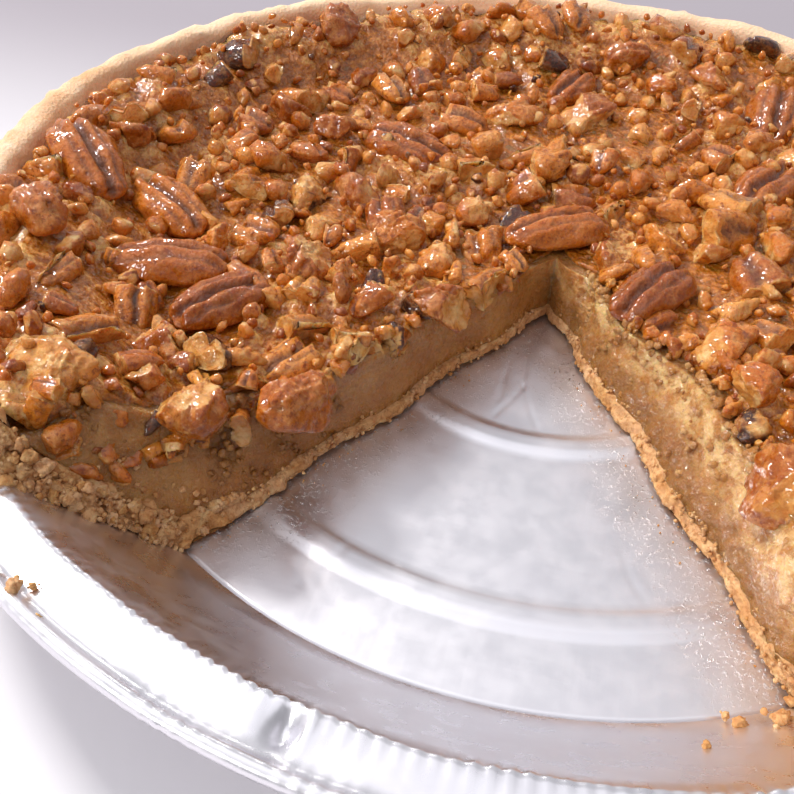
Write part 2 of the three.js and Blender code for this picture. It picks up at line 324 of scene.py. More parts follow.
def icosphere(level):
    bm = bmesh.new()
    bmesh.ops.create_icosphere(bm, subdivisions=level, radius=1.0)
    points = np.array([v.co[:] for v in bm.verts])
    faces = np.array([[v.index for v in f.verts] for f in bm.faces])
    bm.free()
    return points, faces


# ---------------------------------------------------------------- materials

class Nodes:
    """A small builder for one tree of shader nodes."""

    def __init__(self, tree):
        self.tree = tree

    def node(self, kind, inputs=(), **settings):
        made = self.tree.nodes.new(kind)
        for key, value in settings.items():
            setattr(made, key, value)
        for key, value in dict(inputs).items():
            self.set(made.inputs[key], value)
        return made

    def set(self, socket, value):
        if isinstance(value, bpy.types.NodeSocket):
            self.tree.links.new(value, socket)
        else:
            socket.default_value = value

    def math(self, kind, a, b=0.0, c=0.0):
        inputs = {0: a, 1: b, 2: c}
        return self.node("ShaderNodeMath", inputs, operation=kind).outputs[0]

    def times(self, a, b):
        return self.math("MULTIPLY", a, b)

    def steps(self, value, low, high, out_low=0.0, out_high=1.0):
        inputs = {"Value": value, "From Min": low, "From Max": high, "To Min": out_low, "To Max": out_high}
        return self.node("ShaderNodeMapRange", inputs, interpolation_type="SMOOTHSTEP").outputs[0]


class Shader(Nodes):
    """The nodes of one Principled material."""

    def __init__(self, name, **settings):
        self.material = bpy.data.materials.new(name)
        self.material.use_nodes = True
        super().__init__(self.material.node_tree)
        self.bsdf = self.tree.nodes["Principled BSDF"]
        for key, value in settings.items():
            self.bsdf.inputs[key.replace("_", " ")].default_value = value

    def glow(self, *reach):
        """Lets light pass under the surface: how far for red, green and blue, in millimetres."""
        self.bsdf.inputs["Subsurface Scale"].default_value = 1.0
        self.bsdf.inputs["Subsurface Radius"].default_value = [r * MM for r in reach]

    def place(self, stretch=(1, 1, 1), turn=0.0):
        """Positions on the object, in millimetres."""
        at = self.node("ShaderNodeTexCoord").outputs["Object"]
        scale = tuple(s / MM for s in stretch)
        inputs = {"Vector": at, "Scale": scale, "Rotation": (0, 0, math.radians(turn))}
        return self.node("ShaderNodeMapping", inputs).outputs[0]

    def noise(self, pitch, detail=3.0, rough=0.55, stretch=(1, 1, 1), turn=0.0):
        at = self.place(stretch, turn)
        inputs = {"Vector": at, "Scale": 1 / pitch, "Detail": detail, "Roughness": rough}
        return self.node("ShaderNodeTexNoise", inputs).outputs["Fac"]

    def grains(self, pitch):
        inputs = {"Vector": self.place(), "Scale": 1 / pitch}
        return self.node("ShaderNodeTexVoronoi", inputs).outputs["Distance"]

    def mark(self, key):
        return self.node("ShaderNodeAttribute", attribute_name=key).outputs["Fac"]

    def ramp(self, value, *stops):
        made = self.node("ShaderNodeValToRGB", {"Fac": value})
        while len(made.color_ramp.elements) < len(stops):
            made.color_ramp.elements.new(0.5)
        for element, (at, colour) in zip(made.color_ramp.elements, stops):
            element.position = at
            element.color = (*srgb(*colour), 1)
        return made.outputs[0]

    def mix(self, share, a, b, blend="MIX"):
        made = self.node("ShaderNodeMix", data_type="RGBA", blend_type=blend)
        self.set(made.inputs["Factor"], share)
        for socket, value in zip([s for s in made.inputs if s.name in "AB" and s.type == "RGBA"], (a, b)):
            self.set(socket, (*srgb(*value), 1) if isinstance(value, tuple) else value)
        return [s for s in made.outputs if s.type == "RGBA"][0]

    def bump(self, height, distance, strength=1.0, over=None):
        inputs = {"Height": height, "Distance": distance * MM, "Strength": strength}
        if over is not None:
            inputs["Normal"] = over
        return self.node("ShaderNodeBump", inputs).outputs[0]

    def done(self, **links):
        for key, value in links.items():
            self.set(self.bsdf.inputs[key.replace("_", " ")], value)
        return self.material


def srgb(r, g, b):
    """Linear colour from 0 to 255 screen values."""
    return tuple(((v / 255 + 0.055) / 1.055) ** 2.4 if v > 10 else v / 255 / 12.92 for v in (r, g, b))


def foil_material(name, rough_low, rough_high, scratch):
    s = Shader(name, Metallic=1.0)
    cloud = s.noise(14, 4)
    syrup_and_reflection = s.mark("greasy")
    speck = s.steps(s.noise(0.7, 4, 0.8), 0.54, 0.66)
    colour = s.mix(cloud, (234, 231, 237), (243, 241, 245))
    # Beside the cuts the foil is painted browner and darker: painted reflection and painted shadow of the
    # pie's cut faces. The specks are syrup smear.
    colour = s.mix(s.times(syrup_and_reflection, 0.4), colour, (176, 158, 146))
    rough = s.steps(s.noise(5, 5, 0.6), 0.3, 0.7, rough_low, rough_high)
    rough = s.math("MULTIPLY_ADD", s.times(speck, syrup_and_reflection), -0.2, rough)
    fine = s.noise(1.1, 3, 0.6, stretch=(1, 0.05, 1), turn=24)
    cross = s.noise(1.3, 3, 0.6, stretch=(0.05, 1, 1), turn=-38)
    normal = s.bump(s.noise(9, 2), 0.2, 0.15)
    normal = s.bump(fine, 0.02, scratch, normal)
    normal = s.bump(cross, 0.02, scratch, normal)
    normal = s.bump(s.times(speck, syrup_and_reflection), 0.15, 0.7, normal)
    return s.done(Base_Color=colour, Roughness=rough, Normal=normal)


def crust_material():
    s = Shader("baked_pastry", Roughness=0.8, Subsurface_Weight=0.15, Specular_IOR_Level=0.3)
    s.glow(2.4, 1.1, 0.5)
    skin = s.ramp(s.noise(7, 5, 0.62), (0.32, (226, 170, 122)), (0.5, (240, 194, 152)),
                  (0.68, (248, 216, 182)))
    inside = s.ramp(s.noise(2.6, 5, 0.65), (0.3, (172, 110, 56)), (0.5, (204, 146, 86)),
                    (0.7, (228, 186, 128)))
    colour = s.mix(s.mark("broken"), skin, inside)
    # The tone mark makes the pastry paler: at random, and on the rim's far side as painted light.
    colour = s.mix(s.mark("tone"), colour, (252, 214, 178))
    # Dark spots on the broken pastry: painted shade of pits in the crumb.
    painted_pit_shade = s.times(s.steps(s.noise(0.9, 3, 0.7), 0.52, 0.38), s.mark("broken"))
    colour = s.mix(s.times(painted_pit_shade, 0.6), colour, (170, 106, 50))
    normal = s.bump(s.noise(1.6, 5, 0.7), 0.5, 0.6)
    normal = s.bump(s.grains(0.7), 0.25, 0.6, normal)
    return s.done(Base_Color=colour, Normal=normal)


def gel_material(name, clear, reach):
    """clear is how much light passes under the surface, and reach how far, in millimetres."""
    s = Shader(name, Subsurface_Weight=clear, Coat_Weight=0.7, Coat_Roughness=0.08)
    s.glow(reach, 0.5 * reach, 0.15 * reach)
    colour = s.ramp(s.noise(7, 4, 0.6), (0.3, (170, 102, 34)), (0.5, (192, 124, 48)), (0.7, (212, 150, 74)))
    # Paler foam in the upper filling, painted stronger on the lit right cut face: foam and painted light.
    foam = s.steps(s.noise(3.0, 5, 0.65), 0.4, 0.58)
    colour = s.mix(s.times(foam, s.mark("foam")), colour, (236, 188, 124))
    # Darker filling where less light falls: painted shade.
    colour = s.mix(s.mark("shade"), colour, (132, 84, 28))
    rough = s.steps(s.noise(1.3, 4), 0.35, 0.65, 0.16, 0.5)
    normal = s.bump(s.noise(4.0, 4, 0.6), 0.7, 0.5)
    grainy = s.bump(s.times(s.noise(0.9, 4, 0.7), s.mark("wet")), 1.1, 1.0, normal)
    wet = s.bump(s.times(s.noise(1.3, 1, 0.5), s.mark("wet")), 1.2, 1.0)
    return s.done(Base_Color=colour, Roughness=rough, Normal=grainy, Coat_Normal=wet)


def caramel_material():
    s = Shader("baked_syrup_crust", Subsurface_Weight=0.3, Coat_Weight=1.0, Coat_Roughness=0.08,
               Specular_IOR_Level=0.2)
    s.glow(3.5, 1.4, 0.5)
    fleck = s.noise(1.5, 4, 0.7)
    # Lower caramel, in the hollows between the nuts, is painted darker: painted shade. The flecks are its own
    # uneven colour.
    level = s.math("MULTIPLY_ADD", s.mark("high"), 0.25, s.times(fleck, 0.85))
    colour = s.ramp(level, (0.3, (146, 104, 28)), (0.42, (158, 86, 8)), (0.56, (196, 114, 26)),
                    (0.72, (236, 178, 102)))
    rough = s.steps(s.noise(1.5, 4), 0.35, 0.65, 0.2, 0.6)
    normal = s.bump(s.noise(1.6, 5, 0.7), 1.0, 0.9)
    normal = s.bump(s.grains(1.1), 0.5, 0.8, normal)
    syrup = s.bump(s.noise(1.6, 2, 0.5), 0.9, 1.0)
    return s.done(Base_Color=colour, Roughness=rough, Normal=normal, Coat_Normal=syrup)


def nut_material():
    s = Shader("glazed_pecan", Subsurface_Weight=0.25, Coat_Weight=1.0, Coat_Roughness=0.06,
               Specular_IOR_Level=0.1)
    s.glow(3, 1.2, 0.5)
    skin = s.ramp(s.mark("tone"), (0.0, (66, 34, 22)), (0.08, (142, 66, 6)), (0.4, (194, 104, 16)),
                  (0.7, (212, 126, 34)), (1.0, (226, 150, 66)))
    streak = s.noise(2.2, 5, 0.68)
    skin = s.mix(s.steps(streak, 0.5, 0.72, 0.0, 0.6), skin, (116, 48, 8))
    sugar = s.mark("sugar")
    glaze = s.times(s.steps(s.noise(4.5, 4, 0.65), 0.48, 0.62, 0.0, 0.75), sugar)
    skin = s.mix(glaze, skin, (226, 156, 88))
    fleck = s.noise(1.3, 4, 0.7)
    skin = s.mix(s.times(s.steps(fleck, 0.55, 0.68, 0.0, 0.7), sugar), skin, (232, 178, 112))
    skin = s.mix(s.steps(fleck, 0.47, 0.34, 0.0, 0.75), skin, (134, 52, 6))
    meat = s.ramp(s.noise(3.0, 4, 0.6), (0.3, (196, 112, 38)), (0.5, (218, 150, 74)), (0.7, (242, 200, 136)))
    share = s.steps(s.math("MULTIPLY_ADD", streak, 0.5, s.mark("pale")), 0.7, 1.2, 0.0, 0.9)
    colour = s.mix(share, skin, meat)
    groove = s.steps(s.mark("pale"), -0.35, -0.02, 0.75, 0.0)
    colour = s.mix(groove, colour, (88, 36, 8))
    rough = s.steps(s.noise(1.3, 4), 0.35, 0.65, 0.16, 0.52)
    normal = s.bump(s.noise(1.7, 5, 0.68), 0.8, 0.9)
    normal = s.bump(s.grains(0.9), 0.3, 0.6, normal)
    syrup = s.bump(s.noise(2.6, 2, 0.5), 0.9, 0.9)
    return s.done(Base_Color=colour, Roughness=rough, Normal=normal, Coat_Normal=syrup)


FOIL_BASE = foil_material("satin_foil", 0.34, 0.44, 0.6)
FOIL_RIM = foil_material("bright_foil", 0.24, 0.38, 0.25)
CRUST = crust_material()
GEL = gel_material("set_syrup_filling", 0.6, 4.0)
GEL_BITS = gel_material("torn_syrup_filling", 0.1, 0.8)
CARAMEL = caramel_material()
NUT = nut_material()


# ---------------------------------------------------------------- foil dish

CRIMPS = 340
DENT_AT, DENT_R = -98.8, 114.5
# Creases and scratches in the base: from x, y to x, y, and how deep.
CREASES = ((-3.5, -8, -2.5, -22, 0.09), (-2.5, -22, -6, -31, 0.07), (-2.5, -22, 1.5, -33, 0.05),
           (-6, -14, -6.5, -27, 0.05), (20, -57, 23.5, -66, 0.04), (-29, -72, -28, -78, 0.06),
           (-28, -78, -26, -81, 0.05), (-24, -70, -25, -77, 0.06), (-24, -70, -8, -76, 0.04))


def greasy(points):
    """Specks of syrup and butter smear on the foil beside the two cuts, where the foil is also painted
    browner and darker: painted reflection and painted shadow of the cut faces.
    """
    near = depth_in_pie(points)
    return smoothstep(near, -15, -1) * (0.6 + 0.4 * noise(points, 5.0, 3, 2))


def foil_base():
    """The flat bottom of the dish with its two raised rings, fine where the missing slice bares it."""
    angle = np.concatenate([np.linspace(-128, -52, 160), np.linspace(-52, 232, 60)[1:-1]])
    outwards = np.concatenate([[0], np.linspace(0.9, BASE_R, 104)])
    radius = np.concatenate([outwards, outwards[::-8]])
    a, r = np.meshgrid(angle, radius, indexing="ij")
    z = np.full(r.shape, FOIL)
    for start in RINGS:
        outside = smoothstep(-r, -start - RING_W, -start - RING_W + RING_SLOPE)
        z += RING_H * smoothstep(r, start, start + RING_SLOPE) * outside
    points = raised(polar(a, r), z)
    flat = points * [1, 1, 0]
    points[..., 2] += smoothstep(BASE_R - r, 0, 5) * 0.06 * noise(flat, 23.0, 5, 2)
    bend = 0.9 * noise(flat, 7.0, 9)[..., None]
    for x0, y0, x1, y1, depth in CREASES:
        start, way = np.array([x0, y0]), np.array([x1 - x0, y1 - y0])
        at = points[..., :2] + bend - start
        along = np.clip((at @ way) / (way @ way), 0, 1)
        off = np.linalg.norm(at - along[..., None] * way, axis=-1)
        points[..., 2] -= depth * np.exp(-(off / 0.6) ** 2)
    points[:, len(outwards):, 2] = 0.0
    points = points.reshape(-1, 3)
    quads = grid_faces(len(angle) + 1, len(radius)) % len(points)
    weld(put("foil_base", points, [quads], "foil", FOIL_BASE, ["foil_dish"], greasy=greasy(points)))


def foil_rim():
    """The sloping wall, the crimped flange and the rolled edge."""
    wall_up = [(wall_radius(z), z) for z in (*np.linspace(FOIL, DISH_H - 4, 5), DISH_H - 2.6, DISH_H - 1.4)]
    corner = [(RIM_R - 0.3, DISH_H - 0.5), (RIM_R + 0.25, DISH_H - 0.02)]
    flange = [(r, DISH_H - 0.1 * (r - RIM_R - 0.4)) for r in np.linspace(RIM_R + 0.9, FLANGE_R - 0.9, 6)]
    bead_r = 1.2
    bead_at = (OUTER_R - bead_r - 0.15, DISH_H - 0.5)
    turn = np.radians(np.linspace(165, -160, 10))
    bead = [(bead_at[0] + bead_r * math.cos(t), bead_at[1] + bead_r * math.sin(t)) for t in turn]
    under = [(r, DISH_H - FOIL - 0.6) for r in (FLANGE_R - 1.5, RIM_R + 2.5, RIM_R + 0.9)]
    wall_down = [(wall_radius(z) + 0.6, z - 0.2) for z in np.linspace(DISH_H - 1.8, 3, 4)]
    foot = [(BASE_R + 0.35, 0.02), (BASE_R - 0.4, 0.0), (BASE_R - 0.4, FOIL - 0.04)]
    section = wall_up + corner + flange + bead + under + wall_down + foot
    first_bead = len(wall_up) + len(corner) + len(flange)
    beads = slice(first_bead, first_bead + len(bead))

    def bend(angle, rz):
        r, z = rz[..., 0], rz[..., 1]
        place = raised(polar(angle + 0 * r, r), z)
        flat = place * [1, 1, 0]
        uneven = np.clip(0.4 + 0.9 * noise(place, 9.0, 11), 0, 1)
        phase = np.radians(angle * CRIMPS) + 1.5 * noise(flat, 14.0, 12)
        crimp = 0.5 + 0.5 * np.sin(phase + 0.5 * np.sin(phase))
        corner_band = smoothstep(z, DISH_H - 2.2, DISH_H - 0.2) * (1 - smoothstep(r, RIM_R + 0.5, RIM_R + 3))
        on_flange = smoothstep(r, RIM_R, RIM_R + 1.5)
        on_wall = smoothstep(z, 1.0, 5.0) * (1 - smoothstep(z, DISH_H - 3, DISH_H - 0.8))
        around = np.radians(angle) * 100 + 0 * r
        slant = noise(np.stack([around + 1.9 * z, 0.3 * z, 0 * z], -1), 13.0, 21, 2)
        r += on_wall * (0.55 * slant + 0.3 * noise(flat, 34.0, 23))
        r += corner_band * ((0.5 * crimp - 0.25) * (0.1 + 0.8 * uneven) + 0.35 * noise(flat, 11.0, 27, 2))
        z -= corner_band * 0.14 * crimp + on_flange * 0.05 * crimp * (0.2 + uneven)
        z += on_flange * 0.2 * noise(flat, 12.0, 25, 3)
        squeeze = 0.16 * crimp[:, beads] * (0.15 + uneven[:, beads])
        r[:, beads] -= squeeze * (r[:, beads] - bead_at[0]) / bead_r
        z[:, beads] -= squeeze * (z[:, beads] - bead_at[1]) / bead_r
        step = (angle - DENT_AT + 180) % 360 - 180
        on_top = smoothstep(z, DISH_H - 3.5, DISH_H - 1.5)
        z -= on_top * 2.2 * np.exp(-(np.abs(step) / 0.8) ** 1.5) * np.exp(-((r - DENT_R) / 2.2) ** 4)
        z += on_top * 0.6 * np.exp(-((step - 1.3) / 0.45) ** 2) * np.exp(-((r - DENT_R + 1) / 2.6) ** 2)
        r[:] = np.minimum(r, OUTER_R - 0.02)
        z[:] = np.maximum(z, 0)
        return rz

    points, quads = lathe(section, CRIMPS * 4, bend)
    # The wall and flange get a little of the painted reflection beside the cuts too.
    put("foil_rim", points, [quads], "foil", FOIL_RIM, ["foil_dish"], greasy=0.3 * greasy(points))


# ---------------------------------------------------------------- pastry

def crumbled(points, size):
    """Rough broken pastry: clumps of grains with pits between them."""
    clump = 0.62 - cells(points, 3.1, 31)
    grain = 0.6 - cells(points + 0.4 * noise(points, 1.1, 30)[..., None], 1.25, 32)
    return size * (0.9 * clump + 0.5 * grain + 0.5 * noise(points, 1.7, 33, 3))


def crust_rim():
    """The wall and the lip, swept from cut to cut, with a broken face at each end."""
    low = FLOOR_TOP - CRUST_FLOOR
    outer = [(wall_radius(z) - GAP, z) for z in np.linspace(low, DISH_H, 6)]
    outer += [(RIM_R + 0.2, DISH_H + 0.35), (RIM_R + LIP_OUT * 0.8, DISH_H + 0.5)]
    lip = [(LIP_OUT + 0.2, 3.4), (LIP_OUT, 1.7), (LIP_OUT * 0.6, 0.45), (0.2, 0.0), (-1.6, 0.1), (-3.2, 0.9)]
    inner = [(wall_radius(z) - GAP - CRUST_WALL, z) for z in np.linspace(DISH_H + 1.5, FLOOR_TOP, 6)]
    inner += [(wall_radius(FLOOR_TOP) - 12, FLOOR_TOP), (wall_radius(FLOOR_TOP) - 12, low)]
    fixed = np.array(outer + [(RIM_R + o, LIP_TOP - d) for o, d in lip] + inner)
    swings = np.array([0.0] * len(outer) + [1.0] * len(lip) + [0.0] * len(inner))
    length = np.concatenate([[0], np.cumsum(np.linalg.norm(np.diff(fixed, axis=0), axis=1))])
    count = 90
    at = np.linspace(0, length[-1], count)
    r, z, swing = (np.interp(at, length, values) for values in (fixed[:, 0], fixed[:, 1], swings))
    first, last = 0.06, 0.08  # the shares of the turn beside the two cuts, with more rows
    by_right = np.linspace(0, first, 40)[:-1]
    by_left = 1.0 - np.linspace(0, last, 70)[:-1][::-1]
    turn = np.concatenate([by_right, np.linspace(first, 0.92, 220), by_left])[:, None]
    start = CUT_RIGHT + np.degrees(np.arcsin(cut_at(RIGHT, r, z) / r))
    end = CUT_LEFT - np.degrees(np.arcsin(cut_at(LEFT, r, z) / r))
    angle = start + (end - start) * turn
    rise = (lip_top(angle) - LIP_TOP) * swing
    uneven = 0.5 * np.sin(np.radians(7 * angle)) * swing
    body = raised(polar(angle, r + uneven), z + rise)
    half = count // 2
    across = np.linspace(0, 1, 15)[:, None, None]
    ends = [body[i, :half] + (body[i, -1:half - 1:-1] - body[i, :half]) * across for i in (0, -1)]
    points, faces = stacked([body, np.stack([body[:, -1], body[:, 0]], 1), *ends])
    piece = weld(put("crust_rim", points, faces, "crust", CRUST, ["crust"]))
    co, out = surface(piece.data)
    broken = smoothstep(-depth_in_pie(co), -5.0, -0.8)
    lip_side = smoothstep(co[:, 2], DISH_H + 1, DISH_H + 4)
    soft = 0.45 * noise(co, 7.0, 41, 3) + 0.4 * noise(co, 2.4, 43, 3)
    ragged = smoothstep(co[:, 2], LIP_TOP - 2.5, LIP_TOP + 1) * np.clip(noise(co, 4.5, 45, 3), -0.3, 1) * 0.7
    move = (lip_side * soft + ragged) * (1 - broken) + broken * crumbled(co, 1.5)
    shift(piece.data, co + out * move[:, None])
    # Paler pastry towards the far side of the rim, away from the cuts: painted light on the far lip. The
    # noise is the pastry's own uneven tone.
    far = smoothstep(co[:, 1], 10, 60) * (1 - broken)
    mark(piece.data, "tone", 0.1 + 0.1 * noise(co, 9.0, 47, 2) + 0.75 * far)
    mark(piece.data, "broken", broken)


def crust_bottom():
    """The thin bottom crust, which shows as a crumbly line along both cuts."""
    low = FLOOR_TOP - CRUST_FLOOR

    def top(x, y):
        mean = FLOOR_TOP - 1.0 + 0 * x
        return mean, mean + 0.5 * noise(flat_points(x, y), 5.0, 49, 2)

    piece = layer("crust_bottom", "crust", CRUST, ["crust"], (BASE_R - 3, BASE_R - 1),
                  lambda x, y: low + 0 * x, top, 0.0, (60, 200, 9))
    co, out = surface(piece.data)
    near = smoothstep(-depth_in_pie(co), -4.0, -0.3)
    sideways = np.abs(out[:, 2]) < 0.8
    co = co + out * (near * crumbled(co, 0.75) * np.where(sideways, 1.0, 0.6))[:, None]
    co[:, 2] = np.maximum(co[:, 2], FOIL + 0.1)
    shift(piece.data, co)
    mark(piece.data, "tone", 0.15 + 0.15 * noise(co, 5.0, 48, 2))
    mark(piece.data, "broken", near)


# ---------------------------------------------------------------- filling and topping

GEL_DROP = 2.2  # the gel's surface below the mean top of the nuts
GEL_R = BASE_R + 15.2  # the radius of its upper edge
SYRUP_LOW = 10.0  # underside of the syrup crust


def crust_inside(z):
    return wall_radius(z) - GAP - CRUST_WALL


def gel_top(x, y):
    mean = topping_top(x, y) - GEL_DROP
    return mean, mean + 0.35 * noise(flat_points(x, y), 9.0, 51, 2)


def filling():
    piece = layer("filling_gel", "filling", GEL, ["filling"], (crust_inside(FLOOR_TOP) + 0.4, GEL_R),
                  lambda x, y: FLOOR_TOP - 1.8 + 0 * x, gel_top, 0.6, (90, 170, 38))
    co, out = surface(piece.data)
    face = (out[:, 2] < 0.8) & (out[:, 2] > -0.5)
    to_right = smoothstep(co[:, 0], -6, 4)
    drag = 0.35 * noise(co, (12.0, 12.0, 5.0), 53, 3) + 0.16 * noise(co, (2.2, 2.2, 1.4), 54, 2)
    drag += to_right * (0.5 * noise(co, 3.4, 55, 3) + 0.4 * (0.4 - np.abs(noise(co, 1.9, 56, 2))))
    shift(piece.data, co + out * (np.where(face, drag, 0.1 * drag))[:, None])
    mark(piece.data, "wet", 0.65 + 0.35 * to_right)
    # Colour marks: pale foam in the upper layer, painted stronger on the right cut face than the left (foam
    # and painted light); and painted shade, darkest on the gel's top between the nuts, less on the left cut
    # face, none on the upper right face and more towards its bottom.
    upright = 1 - 0.7 * smoothstep(out[:, 2], 0.75, 0.95)
    mark(piece.data, "foam", smoothstep(co[:, 2], 6, 13) * (0.25 + 0.75 * to_right) * upright)
    low = 1 - smoothstep(co[:, 2], 5, 12)
    mark(piece.data, "shade", 1 - upright * (0.75 + 0.25 * to_right - 0.6 * low * to_right))


def gel_lumps():
    """Torn bits of the filling that cling to the cuts: under the nuts on the right one, and over the
    outer half of the left one."""
    rng = np.random.default_rng(51)
    rows, pale, shade = [], [], []
    for cut, near, count, low_down in ((RIGHT, 4, 290, 1.8), (LEFT, 56, 190, 1.2)):
        for reach in rng.uniform(near, 100, count):
            top = gel_top(*(cut[1] * reach))[0]
            z = FLOOR_TOP + (top + 0.8 - FLOOR_TOP) * (1 - rng.random() ** low_down)
            xy = cut[1] * reach + cut[0] * (cut_at(cut, reach, z) + 0.75 + rng.uniform(0, 0.3))
            rows.append((*xy, z, rng.uniform(0.35, 1.3) * (0.5 + 0.5 * z / top)))
            # Lumps on the right cut get more pale foam (painted light), and those on the left cut get painted
            # shade.
            pale.append(rng.random() ** 2 * (1.0 if cut is RIGHT else 0.3))
            shade.append(0.0 if cut is RIGHT else 0.35)
    rows = np.array(rows)
    templates = [grain(700 + k, 2) for k in range(TEMPLATES)]
    turns = rotations(rng, len(rows), 90)
    points, faces, _, order = copies(templates, rows[:, :3], turns, rows[:, 3], np.arange(len(rows)))
    order = order.astype(int)
    put("filling_lumps", points, faces, "filling", GEL_BITS, foam=np.array(pale)[order],
        shade=np.array(shade)[order], wet=np.ones(len(points)))


def heap(x, y):
    """The nuts' true surface: mounds and hollows on the topping's mean height."""
    mound = noise(flat_points(x, y), 14.0, 57, 2)
    return topping_top(x, y) + 1.6 * mound + 1.8 * smoothstep(np.hypot(x, y), 93, 103)


def caramel(rows):
    """The baked crust of syrup and fine crumbs, which climbs the nuts' sides. rows are the nuts'
    places and half lengths."""
    def relief(x, y):
        flat = flat_points(x, y)
        crest = 0.4 - np.abs(noise(flat, 5.5, 61, 3))
        fine = 0.4 - np.abs(noise(flat, 1.9, 63, 2))
        return 1.5 * crest + 0.8 * fine + 0.5 * noise(flat, 3.2, 67, 2)

    def top(x, y):
        rough = 0.5 * relief(x, y)
        ground = np.maximum(heap(x, y) - 2.3 + 2 * rough, topping_top(x, y) - 1.8 + 0.7 * rough)
        climb = np.full(x.shape, -9.0)
        for block in np.array_split(rows, max(len(rows) // 60, 1)):
            off = (x[..., None] - block[:, 0]) ** 2 + (y[..., None] - block[:, 1]) ** 2
            size = block[:, 3]
            climb = np.maximum(climb, (block[:, 2] - 0.15 * size - 0.9 * off / size).max(-1))
        made = np.maximum(ground, np.minimum(climb + rough, ground + 2.4))
        return topping_top(x, y), np.minimum(made, HIGHEST - 1.0)

    rims = (crust_inside(SYRUP_LOW) - 0.5, RIM_R - 5.2)
    piece = layer("caramel_crust", "nut_topping", CARAMEL, ["nut_topping"], rims,
                  lambda x, y: SYRUP_LOW + 0 * x, top, 2.8, (440, 104, 14))
    co, out = surface(piece.data)
    behind = co[:, :2] @ RIGHT[0] - cut_at(RIGHT, co[:, :2] @ RIGHT[1], co[:, 2])
    co[:, :2] += RIGHT[0] * (0.6 * np.exp(-np.clip(behind, 0, None) / 6))[:, None]
    above = co[:, 2] - topping_top(co[:, 0], co[:, 1])
    face = np.where(np.abs(out[:, 2]) < 0.5, smoothstep(above, -3.2, -1.4), 0)
    shift(piece.data, co + out * (face * (0.5 + crumbled(co, 0.7)))[:, None])
    # The high mark keeps the caramel light near the nuts' mean top and darkens it lower down, in the hollows:
    # painted shade.
    mark(piece.data, "high", smoothstep(above, -2.6, 0.4))


# ---------------------------------------------------------------- nuts

def broken_piece(seed, level, shape=(1.0, 0.76, 0.6), planes=8):
    """A template of a broken bit of nut, about 2 across. Planes cut its faces, which show the pale
    meat, and what is left of its outside has the lobes and the grooves of the skin."""
    rng = np.random.default_rng(seed)
    way, faces = icosphere(level)
    shape = np.array(shape) * [1.0, rng.uniform(0.78, 1.15), rng.uniform(0.75, 1.2)]
    oval = 1 / np.linalg.norm(way / shape, axis=1)
    across = way[:, 1] + 0.22 * noise(way, 0.7, seed) + rng.uniform(-0.25, 0.25)
    groove = 0.24 * np.exp(-(across / 0.13) ** 2) + 0.12 * np.exp(-((np.abs(across) - 0.5) / 0.09) ** 2)
    wrinkle = 0.1 * np.exp(-(noise(way, 0.62, seed + 6, 2) / 0.12) ** 2)
    reach = oval * (1.08 - wrinkle - groove * smoothstep(way[:, 2], -0.1, 0.4))
    pale = -2.0 * wrinkle
    for _ in range(planes):
        normal = rng.normal(size=3)
        normal /= np.linalg.norm(normal)
        facing = way @ normal
        stop = rng.uniform(0.34, 0.74) / np.linalg.norm(normal / shape)
        stop = stop + 0.08 * noise(way, 0.6, seed + 5, 3)
        limit = np.where(facing > 0.05, stop / np.maximum(facing, 0.05), 99)
        cut = smoothstep(reach - limit, -0.02, 0.05)
        pale = np.maximum(pale * (1 - cut), cut * (1.0 if rng.random() < 0.45 else 0.3))
        reach = np.where(limit < reach, limit + 0.06 * (reach - limit), reach)
    bumps = 0.05 * noise(way, 0.4, seed + 2, 2) + 0.05 * noise(way, 0.17, seed + 3, 2) * (0.4 + np.abs(pale))
    return way * (reach * (1 + bumps))[:, None], faces, pale


def pecan_half(seed, around=44, along=40):
    """A template of a pecan half, 2 long: two plump lobes with a deep groove between them along the
    back, a shallower groove on each, blunt ends and a wrinkled skin."""
    u = np.linspace(0, np.pi, along)[:, None]
    v = np.linspace(0, 2 * np.pi, around, endpoint=False)[None, :]
    x = np.cos(u) + 0 * v
    swell = np.sin(u) ** 0.65 * (1 + 0.14 * np.cos(u))
    y, z = swell * np.cos(v), swell * np.sin(v)
    place = np.stack([x, y, z], -1)
    wander = 0.12 * noise(place * [1, 0, 0] + seed, 0.55, seed, 2)
    back = smoothstep(z, -0.05, 0.35)
    middle = np.exp(-((y - wander) / 0.17) ** 2)
    side = np.exp(-((np.abs(y) - 0.55 - wander) / 0.1) ** 2)
    wrinkle = noise(place * [0.8, 0.9, 0.9], 0.34, seed + 4, 3)
    dip = 1 - back * (0.55 * middle + 0.2 * side) * np.sin(u) ** 0.3 + 0.13 * wrinkle
    z = np.where(z < 0, 0.6 * z, z * dip)
    y = y * (1 + 0.1 * wrinkle)
    notch = 1 - 0.14 * middle * back + 0.06 * wrinkle
    points = np.stack([x * notch, 0.58 * y, 0.44 * z], -1).reshape(-1, 3)
    faces = grid_faces(along, around, wrap=True)
    dark = (0.9 * middle + 0.5 * side) * back
    return points, faces[:, ::-1], (-0.45 * dark).reshape(-1)


def half_fragment(seed, around, along):
    """A template of a half that is broken across, and sometimes split lengthwise too."""
    rng = np.random.default_rng(seed)
    points, faces, pale = pecan_half(seed, around, along)
    uneven = 0.07 * noise(points, 0.3, seed + 8, 2)
    for axis, low, high, odds in ((0, -0.05, 0.5, 1.0), (1, -0.1, 0.12, 0.45)):
        stop = rng.uniform(low, high) + uneven
        beyond = (points[:, axis] > stop) & (rng.random() < odds)
        points[:, axis] = np.where(beyond, stop + 0.04 * (points[:, axis] - stop), points[:, axis])
        pale = np.where(beyond, 0.9, pale)
    points = points - (points.max(0) + points.min(0)) / 2
    return points * [1.15, 1.25, 1.25], faces, pale


